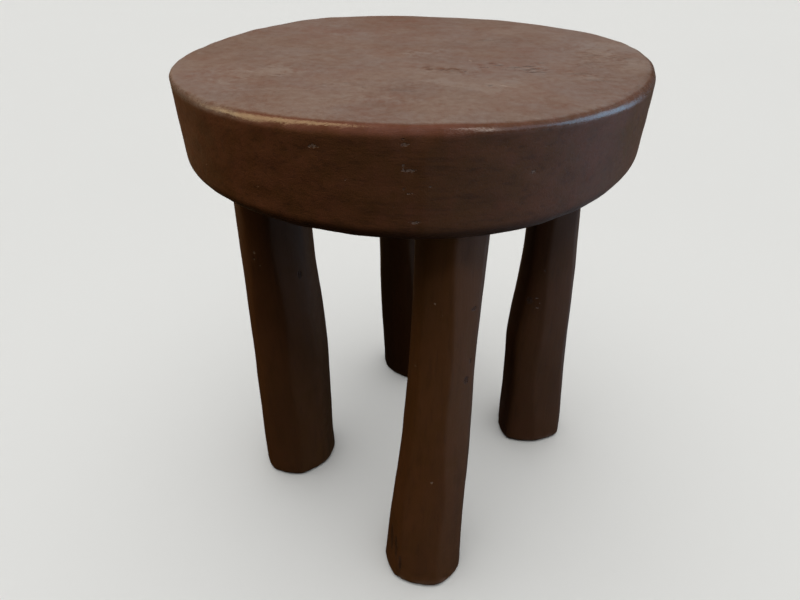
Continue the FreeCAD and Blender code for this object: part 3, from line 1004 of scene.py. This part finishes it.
def bounce_finish(colours):
    """What lies round the stool out of the camera's sight: warm and dark on the left, cool and light
    on the right, and warm behind."""
    finish = Finish("bounce")
    place = finish.node("SeparateXYZ", {0: finish.place}).outputs
    colour = finish.mix(
        finish.ramp(place["X"], *BOUNCE_EDGES), colours.warm_bounce, colours.cool_bounce)
    colour = finish.mix(finish.ramp(place["Y"], *BACK_EDGES), colour, colours.back_bounce)
    return finish.coat({"Base Color": colour, **MATTE})


# Stage

CAMERA_PLACE = (-12.2, -453.9, 488.5)
CAMERA_PITCH = 34.05
CAMERA_ROLL = -0.566
SENSOR_WIDTH = 36
# Metres: what the camera sees, the floor's half width, the height that the lights look at and the suns'
# distance
CLIP_START = 0.01
CLIP_END = 100
FLOOR_REACH = 12
TARGET_HEIGHT = 0.3
SUN_DISTANCE = 3
# A second sheet below the floor, which the camera doesn't see, colours what the stool mirrors. Its colour
# changes between these places along X and towards the back, in metres.
BOUNCE_HEIGHT = -2
BOUNCE_EDGES = (-0.1, 0.5)
BACK_EDGES = (0.15, 0.5)
BACKDROP = (0.75, 0.75, 0.74, 1)

# Lights from far above: azimuth, elevation and spread in degrees, strength, colour, what they reach and
# what casts their shadows
SUNS = {
    "overhead": (270, 90, 66, 1.5, (1.0, 1.0, 1.06), "all_but_floor", "all"),
    "skylight": (293, 62, 11, 1.1, (0.72, 0.84, 1.0), "all_but_floor", "all"),
    "leg_shadows": (270, 90, 95, 2.2, (1.0, 1.0, 0.99), "floor_only", "legs"),
    "foot_shadows": (270, 90, 35, 0.4, (1.0, 1.0, 0.99), "floor_only", "legs"),
    "seat_shadow": (270, 90, 62, 0.36, (1.0, 1.0, 0.99), "floor_only", "all"),
}
# Soft lamps round the stool: azimuth and elevation in degrees, distance, width and height in metres,
# power in watts, colour and what they reach
LAMPS = {
    "warm_window": (182, 44, 1.8, 0.7, 1.9, 17, (1.0, 0.77, 0.42), "all_but_back"),
    "cool_window": (358, 12, 1.8, 1.6, 0.75, 11, (0.36, 0.68, 1.0), "all_but_floor"),
    "cool_strip": (322, 26, 1.8, 0.7, 0.9, 1.8, (0.72, 0.78, 1.0), "all_but_floor"),
    "front_lamp": (302, 42, 1.7, 0.16, 1.4, 4.8, (1.0, 0.92, 0.84), "all_but_floor"),
    "right_low": (330, 3, 2, 1.4, 0.7, 4.5, (0.82, 0.88, 0.98), "front_and_left"),
    "back_card": (92, 20, 2.2, 2.6, 1.0, 4.5, (1.0, 0.84, 0.76), "all_but_floor"),
    "fill": (235, 4, 2, 1.2, 0.6, 2.6, (0.9, 0.9, 0.4), "front_and_back"),
}
# Lamps that reach these legs alone don't show in their shine
UNMIRRORED = ("front_and_left", "front_and_back")


def lay_floor(name, height, material):
    """A flat square sheet that the stool stands over."""
    square = [(FLOOR_REACH * x, FLOOR_REACH * y, height) for x, y in ((-1, -1), (1, -1), (1, 1), (-1, 1))]
    mesh = bpy.data.meshes.new(name)
    mesh.from_pydata(square, [], [(0, 1, 2, 3)])
    mesh.materials.append(material)
    floor = put_in_scene(name, mesh)
    return floor


def hang_light(name, kind, azimuth, elevation, distance, reached):
    """A light that looks at the middle of the stool from a distance, and reaches one group alone."""
    turn, rise = math.radians(azimuth), math.radians(elevation)
    way = Vector((math.cos(rise) * math.cos(turn), math.cos(rise) * math.sin(turn), math.sin(rise)))
    holder = put_in_scene(name, bpy.data.lights.new(name, kind))
    holder.location = Vector((0, 0, TARGET_HEIGHT)) + way * distance
    holder.rotation_euler = (-way).to_track_quat("-Z", "Y").to_euler()
    holder.visible_camera = False
    holder.light_linking.receiver_collection = reached
    return holder


def hang_lamp(name, groups, stage):
    """One of the soft oblong lamps round the stool."""
    azimuth, elevation, distance, width, height, power, colour, reached = LAMPS[name]
    lamp = hang_light(name, "AREA", azimuth, elevation, distance, groups[reached])
    lamp.data.shape = "RECTANGLE"
    lamp.data.size = width
    lamp.data.size_y = height
    lamp.data.energy = power * stage.lamp_strength
    lamp.data.color = colour
    lamp.visible_glossy = reached not in UNMIRRORED


def hang_sun(name, groups, stage):
    """One of the soft lights from far above, which don't show in reflections."""
    azimuth, elevation, spread, strength, colour, reached, blockers = SUNS[name]
    sun = hang_light(name, "SUN", azimuth, elevation, SUN_DISTANCE, groups[reached])
    sun.data.energy = strength * stage.sun_strength
    sun.data.angle = math.radians(spread)
    sun.data.color = colour
    sun.visible_glossy = False
    if blockers in groups:
        sun.light_linking.blocker_collection = groups[blockers]


def light_group(name, members, state="INCLUDE"):
    """A collection that lets a light reach its members alone, or all but them."""
    collection = bpy.data.collections.new(name)
    for member in members:
        collection.objects.link(member)
    for entry in collection.collection_objects:
        entry.light_linking.link_state = state
    return collection


def set_camera(stage):
    """The camera at the photograph's place: pitched down, then rolled about its own axis."""
    camera = bpy.data.cameras.new("camera")
    camera.lens = stage.lens
    camera.sensor_width = SENSOR_WIDTH
    camera.clip_start = CLIP_START
    camera.clip_end = CLIP_END
    holder = put_in_scene("camera", camera)
    pitch = Euler((math.radians(90 - CAMERA_PITCH), 0, 0)).to_matrix()
    turn = pitch @ Matrix.Rotation(math.radians(CAMERA_ROLL), 3, "Z")
    holder.rotation_euler = turn.to_euler()
    holder.location = Vector(CAMERA_PLACE) * MM
    bpy.context.scene.camera = holder


# Settings

def number(name, description, default, **limits):
    return FloatProperty(name=name, description=description, default=default, **{"min": 0, **limits})


def length(name, description, default):
    return number(name, description, default * MM, unit="LENGTH")


def colour(name, description, default):
    return FloatVectorProperty(
        name=name, description=description, default=default, size=3, min=0, max=1, subtype="COLOR")


class StoolSeatSettings(bpy.types.PropertyGroup):
    draw: length("Draw", "How far the side draws in from the rim to the underside", 1.5)
    rim_round: length("Rim rounding", "Radius of the soft edge round the top", 5)
    under_reach: length("Lower edge reach", "How far the lower edge's rounding runs in", 25)
    under_rise: length("Lower edge rise", "How far the lower edge's rounding runs up the side", 15)
    rim_lift: number("Rim lift", "Share of the hand-carved rim's rise and fall", 1)
    ripple: length("Ripple", "Height of the shallow tool marks", 0.45)
    gouge: length("Gouge", "Depth of the gouge marks on the underside", 0.7)
    ridge: length("Ridge", "Height of the upright ridge at the front of the side", 0.8)


class StoolLegSettings(bpy.types.PropertyGroup):
    foot_round: length("Foot rounding", "Radius of the foot's lower edge", 4)
    adze: length("Adze marks", "Height of the waves left by the adze", 0.22)
    chip: length("Chips", "Depth of the chips along the foot's edge", 0.5)
    flatness: number("Flatness", "How flat the hewn sides are: 0 is round", 0.5, max=1)
    crispness: number("Crispness", "How sharp the ridges between the hewn sides are", 44, min=4)


class StoolFinishSettings(bpy.types.PropertyGroup):
    stain: colour("Stain", "The dark brown of the stained wood", (0.083, 0.0335, 0.0115))
    # One stain in two copies: made lighter on the seat as painted light and darker on the legs as painted
    # shade
    seat_painted_light_share: number("Seat shade", "Brightness of the seat's stain", 1.1)
    leg_painted_shade_share: number("Leg shade", "Brightness of the legs' stain", 0.88)
    red_stain: colour("Red stain", "The redder brown in the stain's clouds", (0.118, 0.039, 0.018))
    grain: colour("Grain", "The darkest lines and pores", (0.028, 0.012, 0.008))
    # Dust and painted sheen of the top: these greys stand in part for its grazing reflection
    dust_and_sheen: colour("Haze", "The dusty bloom on the scuffed top", (0.185, 0.137, 0.114))
    warm_dust_and_sheen: colour("Warm haze", "The redder parts of the bloom", (0.193, 0.136, 0.105))
    worn: colour("Worn rim", "The reddish brown of the rubbed rim", (0.135, 0.053, 0.034))
    scuff: colour("Scuff", "Pale nicks and scratches", (0.42, 0.33, 0.27))
    bare: colour("Bare wood", "Unstained wood of the tenons and wedges", (0.42, 0.26, 0.13))
    bare_dark: colour("Dark bare wood", "Darker fibres of the unstained wood", (0.26, 0.14, 0.065))


class StoolStageSettings(bpy.types.PropertyGroup):
    floor_colour: colour("Floor", "The pale floor", (0.8, 0.8, 0.785))
    warm_bounce: colour("Warm bounce", "What the stool sees below it on the left", (0.05, 0.034, 0.016))
    back_bounce: colour("Back bounce", "What the stool's edges mirror behind it", (0.4, 0.25, 0.14))
    cool_bounce: colour("Cool bounce", "What the stool sees below it on the right", (0.42, 0.46, 0.5))
    sun_strength: number("Overhead lights", "Strength of the lights from above", 1)
    lamp_strength: number("Lamps", "Strength of the soft lamps round the stool", 1)
    lens: number("Lens", "The camera's focal length in millimetres", 27, min=1)


# Operators

class STOOL_OT_set_stage(bpy.types.Operator):
    """Lay the floor and the sheet below it, hang the lights and set the camera"""
    bl_idname = "stool.set_stage"
    bl_label = "Set the Stage"

    def execute(self, context):
        stage = context.scene.stool_stage
        floor = lay_floor("floor", 0, floor_finish(stage))
        floor.visible_diffuse = False
        floor.visible_glossy = False
        bounce = lay_floor("bounce", BOUNCE_HEIGHT * MM, bounce_finish(stage))
        bounce.visible_camera = False
        bounce.visible_shadow = False
        legs = [bpy.data.objects["hewn_%s_leg" % leg] for leg in LEG_NAMES]
        groups = {
            "floor_only": light_group("floor_only", [floor]),
            "all_but_floor": light_group("all_but_floor", [floor], "EXCLUDE"),
            "all_but_back": light_group("all_but_back", [floor, legs[-1]], "EXCLUDE"),
            "front_and_back": light_group("front_and_back", [legs[0], legs[-1]]),
            "front_and_left": light_group("front_and_left", legs[:2]),
            "legs": light_group("legs", legs),
        }
        for name in SUNS:
            hang_sun(name, groups, stage)
        for name in LAMPS:
            hang_lamp(name, groups, stage)
        world = bpy.data.worlds.new("studio")
        world.use_nodes = True
        world.node_tree.nodes["Background"].inputs["Color"].default_value = BACKDROP
        world.cycles_visibility.diffuse = False
        world.cycles_visibility.glossy = False
        context.scene.world = world
        context.scene.view_settings.view_transform = "Standard"
        set_camera(stage)
        return {"FINISHED"}


class STOOL_OT_carve_seat(bpy.types.Operator):
    """Carve the seat, cut its sockets and give it its worn finish"""
    bl_idname = "stool.carve_seat"
    bl_label = "Carve the Seat"

    def execute(self, context):
        rings, marks = carve_seat(context.scene.stool_seat)
        piece = ring_piece("carved_seat", rings, marks)
        for leg in LEG_NAMES:
            cut(piece, socket_cutter(leg))
        dress(piece, seat_finish(context.scene.stool_finish), "seat_wood", "seat")
        return {"FINISHED"}


class STOOL_OT_hew_legs(bpy.types.Operator):
    """Hew the four legs with their tenons and give them their stain"""
    bl_idname = "stool.hew_legs"
    bl_label = "Hew the Legs"

    def execute(self, context):
        material = leg_finish(context.scene.stool_finish)
        for leg in LEG_NAMES:
            rings, marks = hew_leg(leg, context.scene.stool_legs)
            piece = ring_piece("hewn_%s_leg" % leg, rings, marks)
            cut(piece, kerf_cutter(leg))
            dress(piece, material, "leg_wood", leg + "_leg")
        return {"FINISHED"}


class STOOL_OT_finish_wedges(bpy.types.Operator):
    """Give the wedges the finish of split wood"""
    bl_idname = "stool.finish_wedges"
    bl_label = "Finish the Wedges"

    def execute(self, context):
        material = wedge_finish(context.scene.stool_finish)
        for leg in LEG_NAMES:
            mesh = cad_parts[leg + "_wedge"].data
            mesh.materials.clear()
            mesh.materials.append(material)
        return {"FINISHED"}


class STOOL_PT_workshop(bpy.types.Panel):
    """The stool's steps and settings"""
    bl_label = "Carved Stool"
    bl_idname = "STOOL_PT_workshop"
    bl_space_type = "VIEW_3D"
    bl_region_type = "UI"
    bl_category = "Stool"

    def draw(self, context):
        for operator, settings in STEPS:
            column = self.layout.column()
            column.operator(operator.bl_idname)
            group = getattr(context.scene, settings)
            for name in group.__annotations__:
                column.prop(group, name)


STEPS = (
    (STOOL_OT_carve_seat, "stool_seat"),
    (STOOL_OT_hew_legs, "stool_legs"),
    (STOOL_OT_finish_wedges, "stool_finish"),
    (STOOL_OT_set_stage, "stool_stage"),
)
GROUPS = {
    "stool_seat": StoolSeatSettings,
    "stool_legs": StoolLegSettings,
    "stool_finish": StoolFinishSettings,
    "stool_stage": StoolStageSettings,
}


def register():
    for name, group in GROUPS.items():
        bpy.utils.register_class(group)
        setattr(bpy.types.Scene, name, PointerProperty(type=group))
    for operator, _ in STEPS:
        bpy.utils.register_class(operator)
    bpy.utils.register_class(STOOL_PT_workshop)


def unregister():
    bpy.utils.unregister_class(STOOL_PT_workshop)
    for operator, _ in STEPS:
        bpy.utils.unregister_class(operator)
    for name, group in GROUPS.items():
        delattr(bpy.types.Scene, name)
        bpy.utils.unregister_class(group)


def corners(box):
    """A box's two corners as plain lists."""
    return [list(map(float, corner)) for corner in box]


def main():
    register()
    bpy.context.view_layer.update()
    bpy.ops.stool.carve_seat()
    bpy.ops.stool.hew_legs()
    bpy.ops.stool.finish_wedges()
    bpy.ops.stool.set_stage()


if __name__ == "__main__":
    main()
